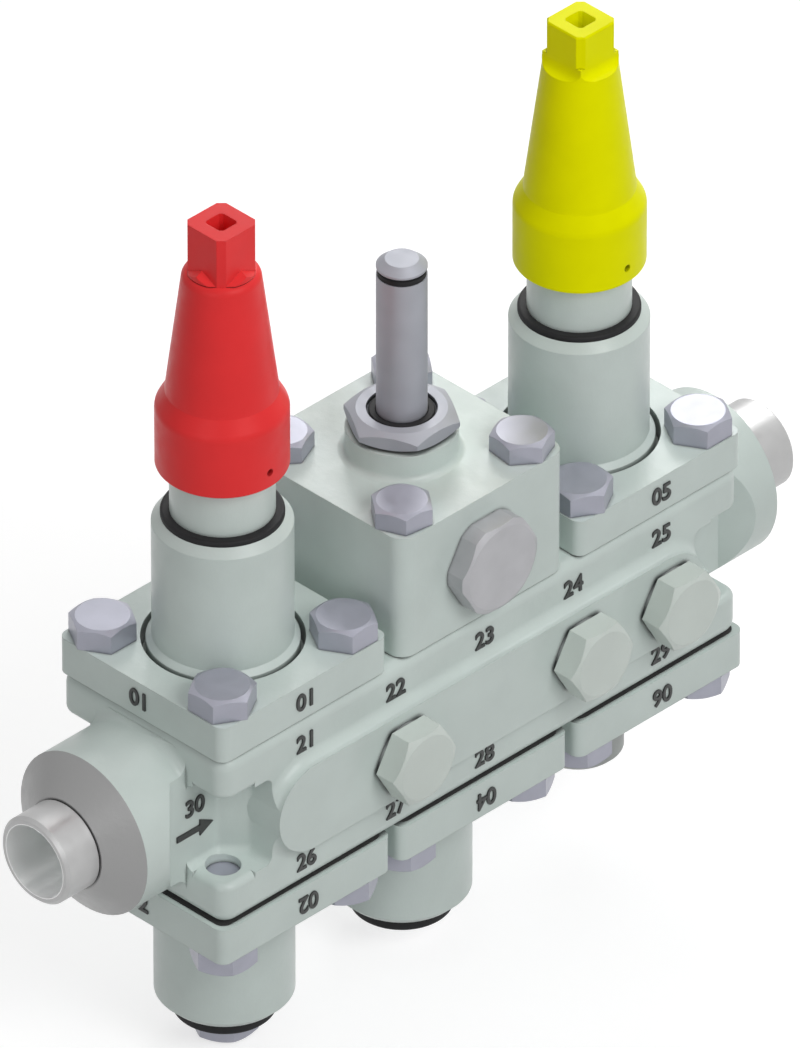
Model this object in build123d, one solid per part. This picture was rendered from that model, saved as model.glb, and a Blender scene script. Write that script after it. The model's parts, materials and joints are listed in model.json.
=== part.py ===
from build123d import *
import math
import os

# Valve station for a DN 20 refrigerant line: six module sockets in one housing, three
# on top and three below. Millimetres, +Z up. The origin is on the line axis at the
# weld end of the inlet, and the line runs along +X.

# Line and weld ends
PIPE_OD = 26.9
PIPE_WALL = 2.3
STUB_VISIBLE = 12.3
STUB_SEAT = 6.0
STUB_STEP = 0.45
STUB_GROOVE = 0.4
WELD_BEVEL = 1.0

# Housing
END_TO_AXIS = 73.5
HOUSING_END_INSET = 0.5
HOUSING_HEIGHT = 56.0
HOUSING_CORNER = 5.0
HOUSING_EDGE = 4.0
BOSS_DIAMETER = 50.0
BOSS_LIP = 0.6
CONE_LENGTH = 6.9
BOSS_FLARE = 3.0
LEDGE_HEIGHT = 14.5
LEDGE_ROUND = 2.2
WAIST_WIDTH = 35.2
WAIST_CORNER = 2.5
RELIEF_BESIDE_BOSS = 6.2
RELIEF_DEPTH = 18.7
RELIEF_SLANT = 6.6
PAD_RADIUS = 14.0
PAD_PROUD = 3.7
PAD_FILLET = 3.4
PAD_DEPTH = 12.0

# Sockets, seats and passages
SOCKET_RADIUS = 18.0
WEB_TOP = -10.0
WEB_THICKNESS = 4.0
SEAT_OUTER = 12.0
SEAT_INNER = 9.0
SEAT_PROUD = 1.0
PASSAGE_WIDTH = 20.0
PASSAGE_HEIGHT = 8.0
PASSAGE_REACH = 14.0
PASSAGE_LOW = -21.0
PASSAGE_HIGH = 6.0
BORE_OVERLAP = 4.5
LINE_BORE_RADIUS = 12.0

# Fits and clearances
FIT = 0.05
SEAL_GAP = 0.3
GASKET = 0.3
GASKET_INSET = 1.0
HOLE_PLAY = 0.3
EDGE_REST = 0.02

# Covers and their bolts
COVER_RIM = 6.5
COVER_GAP = 5.0
BOTTOM_COVER_EXTRA = 1.4
COVER_THICKNESS = 11.6
COVER_CORNER = 3.2
COVER_CLEARANCE = 1.5
BOLT_INSET = 8.9
BOLT_DIAMETER = 10.0
BOLT_GRIP = 11.0
HOLE_OVERRUN = 0.5
BOLT_HEAD_FLATS = 17.0
BOLT_HEAD_HEIGHT = 7.0
BLOCK_BOLT_FLATS = 16.0
BLOCK_BOLT_HEAD_HEIGHT = 6.2
HEAD_INSET = 0.8
HEAD_SLOPE = 30.0
COVER_BOLT_TURN = 30.0
BLOCK_BOLT_TURN = 52.5

# Bonnets of the stop and regulating modules
BONNET_RADIUS = 19.85
BONNET_FILLET = 1.65
FLANGE_OVERLAP = 3.0
FLANGE_THICKNESS = 4.7
BONNET_TOP = 81.7
BONNET_CHAMFER = 2.5
SPIGOT_LENGTH = 10.0
SPIGOT_SEAL_HEIGHT = 2.6
SPIGOT_SEAL_DEPTH = 1.8
NECK_RADIUS = 14.75
NECK_TOP = 112.0
NECK_RING_WIDTH = 2.6
NECK_RING_HEIGHT = 1.6
PACKING_RADIUS = 10.0
PACKING_BOTTOM = 90.0
PACKING_HEIGHT = 10.0
GLAND_FLATS = 22.0
GLAND_HEAD = 5.5

# Spindles and cones
SPINDLE_RADIUS = 6.0
SPINDLE_PIN = 5.0
SPINDLE_TOP = 138.0
SPINDLE_SQUARE = 8.4
SPINDLE_SQUARE_LENGTH = 14.0
CONE_RADIUS = 11.6
CONE_DISC = 5.0
CONE_HUB_RADIUS = 8.0
CONE_HUB = 6.0
CONE_NOSE_TIP = 7.4
STOP_NOSE = 3.5
REGULATING_NOSE = 13.0
REGULATING_TIP = 2.4

# Sealing caps
CAP_BOTTOM = 98.9
CAP_RADIUS = 18.75
CAP_COLLAR = 19.5
CAP_SHOULDER = 24.6
CAP_SHOULDER_ROUND = 4.0
CAP_WAIST = 15.9
CAP_HEIGHT = 79.8
CAP_HEAD_FLATS = 15.0
CAP_HEAD_CORNER = 1.85
CAP_HEAD_RIM = 0.45
CAP_SOCKET = 6.7
CAP_SOCKET_CORNER = 0.85
CAP_SOCKET_DEPTH = 9.0
CAP_WALL = 3.0
CAP_VENT = 1.1
CAP_VENT_HEIGHT = 5.2
CAP_MOUTH_ROUND = 0.8
CAP_THREAD_DEPTH = 20.5
RED_CONE_HEIGHT = 64.5
RED_CONE_TOP = 10.9
RED_CONE_ROUND = 2.8
RED_GABLE_WIDTH = 18.6
RED_GABLE_RADIUS = 9.9
RED_GABLE_HEIGHT = 2.9
RED_GABLE_SLOPE = 54.0
YELLOW_CONE_HEIGHT = 65.5
YELLOW_CONE_TOP = 10.7
YELLOW_SCOOP = 4.0

# Solenoid module
BLOCK_HEIGHT = 40.1
BLOCK_CORNER = 5.0
BLOCK_BOSS_RADIUS = 15.9
BLOCK_BOSS_HEIGHT = 8.1
BLOCK_BOSS_FILLET = 2.0
SERVO_RADIUS = 14.0
SERVO_LENGTH = 25.0
SERVO_WALL = 2.2
SERVO_FLOOR = 4.0
SERVO_CHAMBER = 10.0
SERVO_SLEEVE = 16.0
SERVO_SPRING_RADIUS = 8.8
SERVO_SPRING_TURNS = 5
PILOT_BORE = 2.5
PILOT_HEIGHT = 47.6
TUBE_RADIUS = 7.2
TUBE_WALL = 1.4
TUBE_FLANGE_RADIUS = 9.8
TUBE_FLANGE = 3.0
TUBE_SEAT_DEPTH = 16.0
TUBE_TOP = 132.6
TUBE_CORE = 15.0
TUBE_COLLAR = 8.6
TUBE_COLLAR_PROUD = 0.5
TUBE_BUTTON = 2.6
TUBE_BUTTON_EDGE = 0.6
TUBE_BUTTON_FLAT = 4.75
CLIP_GROOVE = 2.4
CLIP_GROOVE_DEPTH = 1.2
CLIP_THICKNESS = 1.4
CLIP_DROP = 0.3
TUBE_NUT_FLATS = 29.0
TUBE_NUT_HEIGHT = 5.9
TUBE_NUT_INSET = 1.65
TUBE_NUT_RECESS = 10.0
TUBE_NUT_RECESS_DEPTH = 1.6
ARMATURE_LENGTH = 46.0
ARMATURE_SPRING_RADIUS = 3.4
ARMATURE_SPRING_TURNS = 4
SPRING_WIRE = 1.1

# Bowls, closing plugs and side plugs
BOWL_LENGTH = 53.5
BOWL_CHAMFER = 2.5
BOWL_WALL = 4.3
BOWL_FLOOR = 6.0
BOWL_SPIGOT = 3.0
BOWL_RING_RADIUS = 14.8
BOWL_RING_HEIGHT = 4.9
BOWL_RING_EDGE = 1.0
DRAIN_FLATS = 17.0
DRAIN_HEIGHT = 7.4
DRAIN_THREAD = 7.0
END_PLUG_RADIUS = 11.8
END_PLUG_HEAD = 0.6
FILTER_RADIUS = 12.5
FILTER_MESH_WALL = 1.0
FILTER_CAP = 3.0
CHECK_SEAT_INNER = 9.0
CHECK_SEAT_HEIGHT = 4.0
CHECK_DISC_RADIUS = 12.5
CHECK_DISC = 3.0
CHECK_STEM_RADIUS = 3.0
CHECK_STEM_LENGTH = 30.0
CHECK_SPRING_RADIUS = 5.6
CHECK_SPRING_TURNS = 5
BLANK_RADIUS = 13.15
BLANK_LENGTH = 28.7
BLANK_CHAMFER = 1.5
PORT_FLATS = 21.5
PORT_HEAD = 7.9
PORT_WASHER_RADIUS = 10.6
PORT_WASHER = 1.2
PORT_THREAD = 6.5
PORT_THREAD_LENGTH = 9.0
PILOT_FLATS = 27.5
PILOT_CORNERS = 29.5
PILOT_PLUG_HEAD = 7.0
PILOT_PLUG_THREAD = 9.0
PILOT_PLUG_LENGTH = 10.0

# Places that follow from the sizes above
BONNET_BASE = BONNET_RADIUS + BONNET_FILLET
COVER_HOLE = BONNET_BASE + COVER_CLEARANCE
FLANGE_RADIUS = COVER_HOLE + FLANGE_OVERLAP
HALF_WIDTH = FLANGE_RADIUS + COVER_RIM
TOP_COVER_WIDTH = 2 * HALF_WIDTH
BOTTOM_COVER_WIDTH = TOP_COVER_WIDTH + BOTTOM_COVER_EXTRA
BOLT_REACH = HALF_WIDTH - BOLT_INSET
PITCH = TOP_COVER_WIDTH + COVER_GAP
HOUSING_END = END_TO_AXIS - HALF_WIDTH + HOUSING_END_INSET
RELIEF_START = HOUSING_END - RELIEF_BESIDE_BOSS
RELIEF_END = HOUSING_END + RELIEF_DEPTH
LENGTH = 2 * (END_TO_AXIS + PITCH)
AXES = [END_TO_AXIS + PITCH * i for i in range(3)]
PIPE_RADIUS = PIPE_OD / 2
BORE_RADIUS = PIPE_RADIUS - PIPE_WALL
HALF_HEIGHT = HOUSING_HEIGHT / 2
BOSS_RADIUS = BOSS_DIAMETER / 2
COVER_SEAT = HALF_HEIGHT + GASKET
COVER_TOP = COVER_SEAT + COVER_THICKNESS
BLOCK_TOP = COVER_SEAT + BLOCK_HEIGHT
BOSS_TOP = BLOCK_TOP + BLOCK_BOSS_HEIGHT
SEAT_TOP = WEB_TOP + SEAT_PROUD
DISC_BOTTOM = SEAT_TOP + SEAL_GAP
HUB_TOP = DISC_BOTTOM + CONE_DISC + CONE_HUB
SERVO_TOP = DISC_BOTTOM + SERVO_LENGTH
CHAMBER_TOP = COVER_SEAT + SERVO_CHAMBER
TUBE_SEAT = BOSS_TOP - TUBE_SEAT_DEPTH
CORE_BOTTOM = TUBE_TOP - TUBE_CORE
BOWL_RADIUS = BONNET_RADIUS
BOWL_BOTTOM = COVER_SEAT + BOWL_LENGTH
BOWL_INNER = BOWL_RADIUS - BOWL_WALL
BOWL_FLOOR_TOP = BOWL_BOTTOM - BOWL_FLOOR
CHECK_SEAT_FACE = COVER_SEAT + CHECK_SEAT_HEIGHT
PAD_FACE = HALF_WIDTH + PAD_PROUD
PORTS = [AXES[0] + PITCH / 2, AXES[1] + PITCH / 2, AXES[2]]


def turned(points, rounds=None):
    """A solid of revolution about Z from (radius, height) corners, some of them rounded."""
    outline = Wire.make_polygon([Vector(r, 0, z) for r, z in points], close=True)
    face = Face(outline)
    for corner, radius in (rounds or {}).items():
        r, z = points[corner]
        nearest = face.vertices().sort_by_distance(Vector(r, 0, z))[0]
        face = face.fillet_2d(radius, [nearest])
    return revolve(face, Axis.Z)


def ring(outer, inner, bottom, top):
    """A plain ring about Z."""
    return turned([(inner, bottom), (outer, bottom), (outer, top), (inner, top)])


def post(radius, bottom, top, x=0.0, y=0.0):
    """An upright cylinder."""
    return Pos(x, y, (bottom + top) / 2) * Cylinder(radius, top - bottom)


def along_x(radius, start, end, z=0.0):
    """A cylinder lying along the line axis."""
    return Pos((start + end) / 2, 0, z) * Rot(0, 90, 0) * Cylinder(radius, end - start)


def along_y(radius, x, start, end, z=0.0):
    """A cylinder that points out of the front face."""
    return Pos(x, (start + end) / 2, z) * Rot(90, 0, 0) * Cylinder(radius, end - start)


def slab(x0, x1, y0, y1, z0, z1):
    """A box between two corners."""
    middle = Pos((x0 + x1) / 2, (y0 + y1) / 2, (z0 + z1) / 2)
    return middle * Box(x1 - x0, y1 - y0, z1 - z0)


def plan(points, bottom, top):
    """An upright prism over an outline in plan."""
    outline = make_face(Polyline(*points, close=True))
    return extrude(Pos(0, 0, bottom) * outline, top - bottom)


def square_plate(width, corner, bottom, top):
    """A square plate with rounded upright corners."""
    return extrude(Pos(0, 0, bottom) * RectangleRounded(width, width, corner), top - bottom)


def hex_head(flats, height, inset=HEAD_INSET, corners=None, both_ends=False):
    """A hexagonal head from Z 0 up, turned to a cone at its top, or at both ends."""
    corner = flats / 2 / math.cos(math.pi / 6)
    edge = corners / 2 if corners else corner
    face = flats / 2 - inset
    drop = (edge - face) * math.tan(math.radians(HEAD_SLOPE))
    low = [(0, 0), (face, 0), (edge, drop)] if both_ends else [(0, 0), (edge, 0)]
    blank = turned(low + [(edge, height - drop), (face, height), (0, height)])
    return extrude(RegularPolygon(corner, 6), height) & blank


def bolt_places():
    """The four bolt centres of a module about its own axis, in turn."""
    r = BOLT_REACH
    return [(-r, -r), (r, -r), (r, r), (-r, r)]


def mirrored(shape):
    """The shape and its mirror images over the length and the width of the housing."""
    middle = Plane.YZ.offset(LENGTH / 2)
    pair = shape + mirror(shape, about=middle)
    return pair + mirror(pair, about=Plane.XZ)


def upside_down(shape):
    """A module drawn for the top, turned over for the underside."""
    return Rot(180, 0, 0) * shape


def relief_cutter():
    """What is cut away at one end corner of the housing to reach the bolt ends."""
    out = HALF_WIDTH + PAD_PROUD + HOUSING_CORNER
    wall = WAIST_WIDTH / 2
    slant_end = wall + RELIEF_SLANT
    outline = [
        (RELIEF_START - (out - wall), -out),
        (RELIEF_START, -wall),
        (RELIEF_END - RELIEF_SLANT, -wall),
        (RELIEF_END, -slant_end),
        (RELIEF_END, -out),
    ]
    notch = plan(outline, -LEDGE_HEIGHT, LEDGE_HEIGHT)
    upright = notch.edges().filter_by(Axis.Z)
    inner = [e for e in upright if e.center().X > RELIEF_START + 1 and e.center().Y > -out + 1]
    notch = fillet(inner, WAIST_CORNER)
    level = notch.edges().group_by(Axis.Z)[0] + notch.edges().group_by(Axis.Z)[-1]
    roots = [e for e in level if e.center().X > HOUSING_END and e.center().Y > -out + 1]
    notch = fillet(roots, WAIST_CORNER)
    pad_end = Pos(AXES[0], 0, 0) * Rot(90, 0, 0) * Cylinder(PAD_RADIUS, 4 * out)
    beside_boss = plan(
        [outline[0], outline[1], (HOUSING_END, -wall), (HOUSING_END, -out)],
        -HALF_HEIGHT, HALF_HEIGHT,
    )
    return notch - pad_end + beside_boss


def ledge_rounding():
    """What rounds the outer edges of the two ledges at one end corner of the housing."""
    inner = WAIST_WIDTH / 2 + WAIST_CORNER
    top = LEDGE_HEIGHT + 2 * LEDGE_ROUND
    band = slab(HOUSING_END, LENGTH - HOUSING_END, -HALF_WIDTH, HALF_WIDTH, LEDGE_HEIGHT, top)
    band = fillet(band.edges().filter_by(Axis.Z), HOUSING_CORNER)
    rounded = fillet(band.edges().group_by(Axis.Z)[0], LEDGE_ROUND)
    corner = slab(HOUSING_END, RELIEF_END - RELIEF_SLANT, -HALF_WIDTH, -inner, LEDGE_HEIGHT, top)
    edge = (band & corner) - rounded
    return edge + mirror(edge, about=Plane.XY)


def housing_block():
    """The cast block with its pad, before anything is cut."""
    far_end = LENGTH - HOUSING_END
    block = slab(HOUSING_END, far_end, -HALF_WIDTH, HALF_WIDTH, -HALF_HEIGHT, HALF_HEIGHT)
    block = fillet(block.edges().filter_by(Axis.Z), HOUSING_CORNER)
    rims = block.edges().group_by(Axis.Z)[0] + block.edges().group_by(Axis.Z)[-1]
    block = fillet(rims, HOUSING_EDGE)
    pad_length = AXES[2] - AXES[0] + 2 * PAD_RADIUS
    pad_outline = Plane.XZ.offset(HALF_WIDTH - PAD_DEPTH) * Pos(LENGTH / 2, 0) * SlotOverall(
        pad_length, 2 * PAD_RADIUS)
    block += extrude(pad_outline, PAD_DEPTH + PAD_PROUD)
    foot = [e for e in block.edges() if abs(e.center().Y + HALF_WIDTH) < 0.01 and on_pad_foot(e)]
    return fillet(foot, PAD_FILLET)


def on_pad_foot(edge):
    """True for the edges where the pad stands on the front face."""
    box = edge.bounding_box()
    low = max(abs(box.min.Z), abs(box.max.Z)) <= PAD_RADIUS + 0.01
    return low and box.max.Y - box.min.Y < 0.01


def line_boss():
    """The round boss and cone at the inlet end, with a flare where it meets the block."""
    lip = PIPE_RADIUS + BOSS_LIP
    shoulder = STUB_VISIBLE + CONE_LENGTH
    flare = BOSS_RADIUS + BOSS_FLARE
    profile = [
        (0, STUB_VISIBLE), (lip, STUB_VISIBLE), (BOSS_RADIUS, shoulder),
        (BOSS_RADIUS, HOUSING_END), (flare, HOUSING_END),
        (flare, HOUSING_END + BOSS_FLARE), (0, HOUSING_END + BOSS_FLARE),
    ]
    boss = turned(profile, {3: BOSS_FLARE - EDGE_REST})
    level = HALF_HEIGHT - BOSS_FLARE
    boss = Rot(0, 90, 0) * boss
    return boss & slab(0, LENGTH, -BOSS_DIAMETER, BOSS_DIAMETER, -level, level)


def passage(start, end):
    """A flat-sided drilling between two (x, z) points."""
    (x0, z0), (x1, z1) = start, end
    reach = math.hypot(x1 - x0, z1 - z0)
    tilt = math.degrees(math.atan2(z1 - z0, x1 - x0))
    section = SlotOverall(PASSAGE_WIDTH, PASSAGE_HEIGHT, rotation=90)
    return Pos(x0, 0, z0) * Rot(0, 90 - tilt, 0) * extrude(section, reach)


def housing_passages():
    """Sockets, seats, line bores and the passages that lead from module to module."""
    web_bottom = WEB_TOP - WEB_THICKNESS
    seat = STUB_VISIBLE + STUB_SEAT
    outlet = AXES[2] + SOCKET_RADIUS + PASSAGE_REACH + BORE_OVERLAP
    cut = along_x(LINE_BORE_RADIUS, seat, AXES[0] - SOCKET_RADIUS + BORE_OVERLAP)
    cut += along_x(LINE_BORE_RADIUS, outlet, LENGTH - seat)
    for x in AXES:
        cut += post(SOCKET_RADIUS, WEB_TOP, HALF_HEIGHT, x)
        cut += post(SOCKET_RADIUS, -HALF_HEIGHT, web_bottom, x)
        cut += post(SEAT_OUTER, web_bottom, WEB_TOP, x)
    for x in AXES[:2]:
        cut += passage((x + PASSAGE_REACH, PASSAGE_LOW), (x + PITCH - PASSAGE_REACH, PASSAGE_HIGH))
    last = AXES[2] + PASSAGE_REACH
    cut += passage((last, PASSAGE_LOW), (last + 2 * PASSAGE_REACH, -PASSAGE_HEIGHT / 2))
    return cut


def housing_holes():
    """Bolt holes from both faces, port holes in the pad and the two stub seats."""
    tapped = BOLT_DIAMETER / 2 + FIT
    depth = LEDGE_HEIGHT - HOLE_OVERRUN
    holes = []
    for x in AXES:
        for dx, dy in bolt_places():
            holes.append(post(tapped, depth, HALF_HEIGHT, x + dx, dy))
            holes.append(post(tapped, -HALF_HEIGHT, -depth, x + dx, dy))
    for x in PORTS:
        holes.append(along_y(PORT_THREAD + FIT, x, -PAD_FACE, -SOCKET_RADIUS / 2))
    spigot = PIPE_RADIUS - STUB_STEP + FIT
    seat = STUB_VISIBLE + STUB_SEAT
    holes.append(along_x(spigot, 0, seat))
    holes.append(along_x(spigot, LENGTH - seat, LENGTH))
    return holes


def housing():
    boss = line_boss()
    body = housing_block() + boss + mirror(boss, about=Plane.YZ.offset(LENGTH / 2))
    body -= mirrored(relief_cutter())
    body -= mirrored(ledge_rounding())
    body -= housing_passages()
    for hole in housing_holes():
        body -= hole
    return body


def stub():
    """A weld end: a short pipe with a bevel at its open end and a turned spigot in the boss."""
    end = STUB_VISIBLE + STUB_SEAT
    neck = STUB_VISIBLE - STUB_GROOVE
    spigot = PIPE_RADIUS - STUB_STEP
    profile = [
        (BORE_RADIUS, 0), (PIPE_RADIUS - WELD_BEVEL, 0), (PIPE_RADIUS, WELD_BEVEL),
        (PIPE_RADIUS, neck), (spigot, neck), (spigot, end), (BORE_RADIUS, end),
    ]
    return Rot(0, 90, 0) * turned(profile)


def bolt(length, flats, head_height, turn):
    """A hexagon bolt whose head stands on Z 0."""
    head = Rot(0, 0, turn) * hex_head(flats, head_height)
    return head + post(BOLT_DIAMETER / 2, -length, 0)


def bolt_group(seat, flats, head_height, first_turn):
    """The four bolts of a module, set round its axis by quarter turns."""
    length = seat - HALF_HEIGHT + BOLT_GRIP
    bolts = []
    for i, (dx, dy) in enumerate(bolt_places()):
        bolts.append(Pos(dx, dy, seat) * bolt(length, flats, head_height, first_turn + 90 * i))
    return Compound(bolts)


def cover_gasket(width):
    """The thin gasket under one cover."""
    sheet = square_plate(width - 2 * GASKET_INSET, COVER_CORNER, HALF_HEIGHT, COVER_SEAT)
    sheet -= post(FLANGE_RADIUS, HALF_HEIGHT, COVER_SEAT)
    for dx, dy in bolt_places():
        sheet -= post(BOLT_DIAMETER / 2 + HOLE_PLAY, HALF_HEIGHT, COVER_SEAT, dx, dy)
    return sheet


def flange_seal():
    """The ring that seals a module flange to the housing face."""
    return ring(FLANGE_RADIUS, SOCKET_RADIUS, HALF_HEIGHT, COVER_SEAT)


def bolt_clearances(bottom, top):
    """Four clearance holes for a module's bolts."""
    holes = [post(BOLT_DIAMETER / 2 + HOLE_PLAY, bottom, top, dx, dy) for dx, dy in bolt_places()]
    return holes[0] + holes[1] + holes[2] + holes[3]


def cover(width):
    """A square cover with a recess that clamps the module's flange."""
    plate = square_plate(width, COVER_CORNER, COVER_SEAT, COVER_TOP)
    plate -= post(COVER_HOLE, COVER_SEAT, COVER_TOP)
    plate -= post(FLANGE_RADIUS + FIT, COVER_SEAT, COVER_SEAT + FLANGE_THICKNESS)
    return plate - bolt_clearances(COVER_SEAT, COVER_TOP)


def bonnet():
    """A turned bonnet: spigot, clamped flange, body, neck and packing chamber."""
    flange_top = COVER_SEAT + FLANGE_THICKNESS
    spigot = SOCKET_RADIUS - FIT
    bottom = HALF_HEIGHT - SPIGOT_LENGTH
    bore = SPINDLE_RADIUS + FIT
    body_foot = COVER_TOP + BONNET_FILLET
    profile = [
        (PACKING_RADIUS, bottom), (spigot, bottom), (spigot, COVER_SEAT),
        (FLANGE_RADIUS, COVER_SEAT), (FLANGE_RADIUS, flange_top), (BONNET_BASE, flange_top),
        (BONNET_BASE, COVER_TOP), (BONNET_RADIUS, body_foot),
        (BONNET_RADIUS, BONNET_TOP - BONNET_CHAMFER), (BONNET_RADIUS - BONNET_CHAMFER, BONNET_TOP),
        (NECK_RADIUS, BONNET_TOP), (NECK_RADIUS, NECK_TOP), (PACKING_RADIUS, NECK_TOP),
        (PACKING_RADIUS, PACKING_BOTTOM), (bore, PACKING_BOTTOM), (bore, COVER_SEAT),
        (PACKING_RADIUS, COVER_SEAT),
    ]
    body = turned(profile)
    groove = HALF_HEIGHT - SPIGOT_LENGTH / 2
    return body - ring(spigot + 1, spigot - SPIGOT_SEAL_DEPTH, groove, groove + SPIGOT_SEAL_HEIGHT)


def spigot_seal():
    """The seal ring in the groove of a bonnet's spigot."""
    groove = HALF_HEIGHT - SPIGOT_LENGTH / 2
    inner = SOCKET_RADIUS - FIT - SPIGOT_SEAL_DEPTH
    return ring(SOCKET_RADIUS, inner, groove, groove + SPIGOT_SEAL_HEIGHT)


def neck_ring():
    """The black ring round the foot of the neck."""
    outer = NECK_RADIUS + NECK_RING_WIDTH
    top = BONNET_TOP + NECK_RING_HEIGHT
    profile = [(NECK_RADIUS, BONNET_TOP), (outer, BONNET_TOP), (outer, top), (NECK_RADIUS, top)]
    return turned(profile, {2: NECK_RING_HEIGHT / 2})


def packing():
    """The packing stack round the spindle."""
    top = PACKING_BOTTOM + PACKING_HEIGHT
    return ring(PACKING_RADIUS, SPINDLE_RADIUS + FIT, PACKING_BOTTOM, top)


def gland():
    """The hexagonal gland nut that presses the packing."""
    bore = SPINDLE_RADIUS + FIT
    bottom = PACKING_BOTTOM + PACKING_HEIGHT
    nut = Pos(0, 0, NECK_TOP) * hex_head(GLAND_FLATS, GLAND_HEAD)
    nut += post(PACKING_RADIUS - FIT, bottom, NECK_TOP)
    return nut - post(bore, bottom, NECK_TOP + GLAND_HEAD)


def spindle():
    """The turning spindle, with its pin in the cone and a square at the top."""
    pin_bottom = DISC_BOTTOM + CONE_DISC + SEAL_GAP
    shoulder = HUB_TOP + SEAL_GAP
    rod = post(SPINDLE_PIN, pin_bottom, shoulder) + post(SPINDLE_RADIUS, shoulder, SPINDLE_TOP)
    foot = SPINDLE_TOP - SPINDLE_SQUARE_LENGTH
    outside = square_plate(2 * SPINDLE_RADIUS + 2, 1, foot, SPINDLE_TOP)
    half = SPINDLE_SQUARE / 2
    rod -= outside - slab(-half, half, -half, half, foot, SPINDLE_TOP)
    return rod


def valve_cone(nose, tip):
    """A cone with a seat face, a nose of a given length and a hub for the spindle pin."""
    disc_top = DISC_BOTTOM + CONE_DISC
    shoulder = SEAT_INNER - SEAL_GAP
    pin = SPINDLE_PIN + FIT
    profile = [
        (0, DISC_BOTTOM - nose), (tip, DISC_BOTTOM - nose), (shoulder, DISC_BOTTOM),
        (CONE_RADIUS, DISC_BOTTOM), (CONE_RADIUS, disc_top), (CONE_HUB_RADIUS, disc_top),
        (CONE_HUB_RADIUS, HUB_TOP), (pin, HUB_TOP), (pin, disc_top), (0, disc_top),
    ]
    return turned(profile)


def seat_ring():
    """A seat ring pressed into the web between two sockets."""
    return ring(SEAT_OUTER, SEAT_INNER, WEB_TOP - WEB_THICKNESS, SEAT_TOP)


def cap_shell(cone_height, cone_top, cone_round):
    """The turned part of a sealing cap: collar, rounded shoulder, cone and hollow inside."""
    bottom = CAP_BOTTOM
    collar = bottom + CAP_COLLAR
    waist = bottom + CAP_SHOULDER
    top = bottom + cone_height
    profile = [
        (0, bottom), (CAP_RADIUS, bottom), (CAP_RADIUS, collar), (CAP_WAIST, waist),
        (cone_top, top), (0, top),
    ]
    rounds = {2: CAP_SHOULDER_ROUND, 1: CAP_MOUTH_ROUND}
    if cone_round:
        rounds[4] = cone_round
    thread = NECK_RADIUS + FIT
    hollow_top = top - 2 * CAP_WALL
    hollow = turned([
        (0, bottom), (thread, bottom), (thread, bottom + CAP_THREAD_DEPTH),
        (CAP_WAIST - CAP_WALL, waist), (cone_top - CAP_WALL, hollow_top), (0, hollow_top),
    ])
    vent = along_y(CAP_VENT, 0, -CAP_RADIUS, 0, bottom + CAP_VENT_HEIGHT)
    return turned(profile, rounds) - hollow - vent


def cap_socket():
    """The square key socket in a cap's head."""
    top = CAP_BOTTOM + CAP_HEIGHT
    return cut_square(CAP_SOCKET, CAP_SOCKET_CORNER, top - CAP_SOCKET_DEPTH, top)


def cut_square(width, cut, bottom, top):
    """A square prism with its upright edges cut off at 45 degrees."""
    prism = Pos(0, 0, (bottom + top) / 2) * Box(width, width, top - bottom)
    return chamfer(prism.edges().filter_by(Axis.Z), cut)


def cap_head(foot):
    """The square head of a cap, its upright corners cut back."""
    return cut_square(CAP_HEAD_FLATS, CAP_HEAD_CORNER, foot, CAP_BOTTOM + CAP_HEIGHT)


def red_cap():
    """The stop module's cap: a square head on a rounded cone top, with a gable under each flat."""
    shell = cap_shell(RED_CONE_HEIGHT, RED_CONE_TOP, RED_CONE_ROUND)
    foot = CAP_BOTTOM + RED_CONE_HEIGHT
    pyramid = extrude(
        Pos(0, 0, foot) * Rectangle(RED_GABLE_WIDTH, RED_GABLE_WIDTH, rotation=45),
        RED_GABLE_HEIGHT, taper=RED_GABLE_SLOPE)
    gables = pyramid & post(RED_GABLE_RADIUS, foot, foot + RED_GABLE_HEIGHT)
    return shell + gables + cap_head(foot - CAP_WALL) - cap_socket()


def yellow_cap():
    """The regulating module's cap: its flats run out into the cone in scoops."""
    foot = CAP_BOTTOM + YELLOW_CONE_HEIGHT
    top = CAP_BOTTOM + CAP_HEIGHT
    half = CAP_HEAD_FLATS / 2
    shell = cap_shell(YELLOW_CONE_HEIGHT, YELLOW_CONE_TOP, 0)
    scoop = YELLOW_SCOOP
    collar = post(YELLOW_CONE_TOP, foot, foot + scoop)
    for side in range(4):
        cutter = slab(half, 2 * half, -2 * half, 2 * half, foot, foot + scoop)
        root = cutter.edges().filter_by(Axis.Y).sort_by(Axis.Z)[:2].sort_by(Axis.X)[0]
        collar -= Rot(0, 0, 90 * side) * fillet(root, scoop * 0.8)
    head = cap_head(foot) + collar
    rim = head.faces().sort_by(Axis.Z)[-1].edges()
    return shell + chamfer(rim, CAP_HEAD_RIM) - cap_socket()


def spring(radius, bottom, top, turns):
    """A coil spring about Z between two heights."""
    wire = SPRING_WIRE / 2
    rise = (top - bottom - SPRING_WIRE) / turns
    path = Pos(0, 0, bottom + wire) * Helix(rise, rise * turns, radius)
    section = (path ^ 0) * Rectangle(SPRING_WIRE, SPRING_WIRE)
    return sweep(section, path=path, is_frenet=True)


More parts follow.
